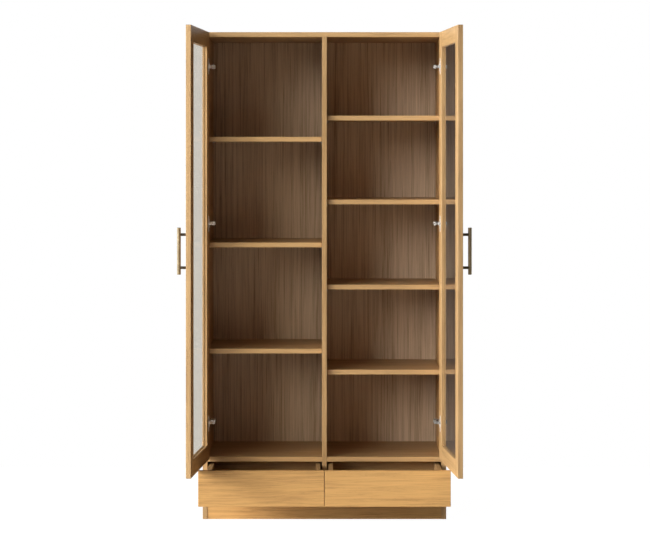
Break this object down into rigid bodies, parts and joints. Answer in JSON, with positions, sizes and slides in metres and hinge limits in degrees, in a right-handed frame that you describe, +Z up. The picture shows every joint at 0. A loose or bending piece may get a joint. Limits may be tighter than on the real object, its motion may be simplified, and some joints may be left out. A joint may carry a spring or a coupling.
{
  "type": "bookcase",
  "caption": "Tall bookcase with glass doors over a pair of drawers, on a closed plinth, with adjustable shelves in each bay.",
  "frame": {"origin": "on the floor, at the middle of the carcass's footprint, under the centre plinth rail", "axes": "+Z up; the doors and drawers face -Y; +X to the right as one faces the bookcase"},
  "size_m": [1.1404, 0.9566, 2],
  "materials": {
    "carcass_veneer": "satin oak veneer on board, fine straight grain",
    "front_veneer": "satin oak, fine straight grain",
    "back_veneer": "thin satin panel with vertical grain",
    "drawer_box_wood": "satin, straight grain along the boards",
    "clear_glass": "clear polished float glass",
    "aged_brass": "brushed, slightly aged",
    "dark_bronze": "dark bronzed",
    "nickel_steel": "nickel-plated pressed steel",
    "zinc_steel": "zinc-plated",
    "runner_steel": "galvanised sheet"
  },
  "bodies": {
    "carcass": {"back_panel": "back_veneer", "bottom_panel": "carcass_veneer", "centre_divider": "carcass_veneer", "hinge_arms": "nickel_steel", "hinge_pins": "zinc_steel", "hinge_plates": "nickel_steel", "left_cabinet_runners": "runner_steel", "left_deck": "carcass_veneer", "left_shelf_1": "carcass_veneer", "left_shelf_2": "carcass_veneer", "left_shelf_3": "carcass_veneer", "left_side": "carcass_veneer", "plinth_centre_rail": "carcass_veneer", "plinth_rear_rail": "carcass_veneer", "right_cabinet_runners": "runner_steel", "right_deck": "carcass_veneer", "right_shelf_1": "carcass_veneer", "right_shelf_2": "carcass_veneer", "right_shelf_3": "carcass_veneer", "right_shelf_4": "carcass_veneer", "right_side": "carcass_veneer", "shelf_pins": "zinc_steel", "toe_kick": "carcass_veneer", "top_panel": "carcass_veneer"},
    "left_door": {"left_bottom_rail": "front_veneer", "left_free_stile": "front_veneer", "left_glass": "clear_glass", "left_handle_bar": "aged_brass", "left_handle_posts": "dark_bronze", "left_hinge_cups": "nickel_steel", "left_hinge_stile": "front_veneer", "left_top_rail": "front_veneer"},
    "right_door": {"right_bottom_rail": "front_veneer", "right_free_stile": "front_veneer", "right_glass": "clear_glass", "right_handle_bar": "aged_brass", "right_handle_posts": "dark_bronze", "right_hinge_cups": "nickel_steel", "right_hinge_stile": "front_veneer", "right_top_rail": "front_veneer"},
    "left_hinge_links": {"left_hinge_links": "nickel_steel"},
    "right_hinge_links": {"right_hinge_links": "nickel_steel"},
    "left_drawer": {"left_drawer_back": "drawer_box_wood", "left_drawer_bottom": "drawer_box_wood", "left_drawer_front": "front_veneer", "left_drawer_inner_side": "drawer_box_wood", "left_drawer_outer_side": "drawer_box_wood", "left_drawer_runners": "runner_steel"},
    "right_drawer": {"right_drawer_back": "drawer_box_wood", "right_drawer_bottom": "drawer_box_wood", "right_drawer_front": "front_veneer", "right_drawer_inner_side": "drawer_box_wood", "right_drawer_outer_side": "drawer_box_wood", "right_drawer_runners": "runner_steel"}
  },
  "joints": [
    {"name": "left_door_swing", "type": "hinge", "parent": "carcass", "child": "left_door", "pos_m": [-0.4886, -0.245, 0], "axis": [0, 0, -1], "range_deg": [-95, 15]},
    {"name": "left_link_swing", "type": "hinge", "parent": "carcass", "child": "left_hinge_links", "pos_m": [-0.457, -0.224, 0], "axis": [0, 0, -1], "range_deg": [-6.5, 38.5]},
    {"name": "left_drawer_slide", "type": "slide", "parent": "carcass", "child": "left_drawer", "axis": [0, -1, 0], "range_m": [-0.272, 0.078]},
    {"name": "right_door_swing", "type": "hinge", "parent": "carcass", "child": "right_door", "pos_m": [0.4886, -0.245, 0], "axis": [0, 0, 1], "range_deg": [-95, 15]},
    {"name": "right_link_swing", "type": "hinge", "parent": "carcass", "child": "right_hinge_links", "pos_m": [0.457, -0.224, 0], "axis": [0, 0, 1], "range_deg": [-6.5, 38.5]},
    {"name": "right_drawer_slide", "type": "slide", "parent": "carcass", "child": "right_drawer", "axis": [0, -1, 0], "range_m": [-0.272, 0.078]}
  ],
  "couplings": [
    {"joint": "left_link_swing", "follows": "left_door_swing", "ratio": -0.4},
    {"joint": "right_link_swing", "follows": "right_door_swing", "ratio": -0.4}
  ]
}
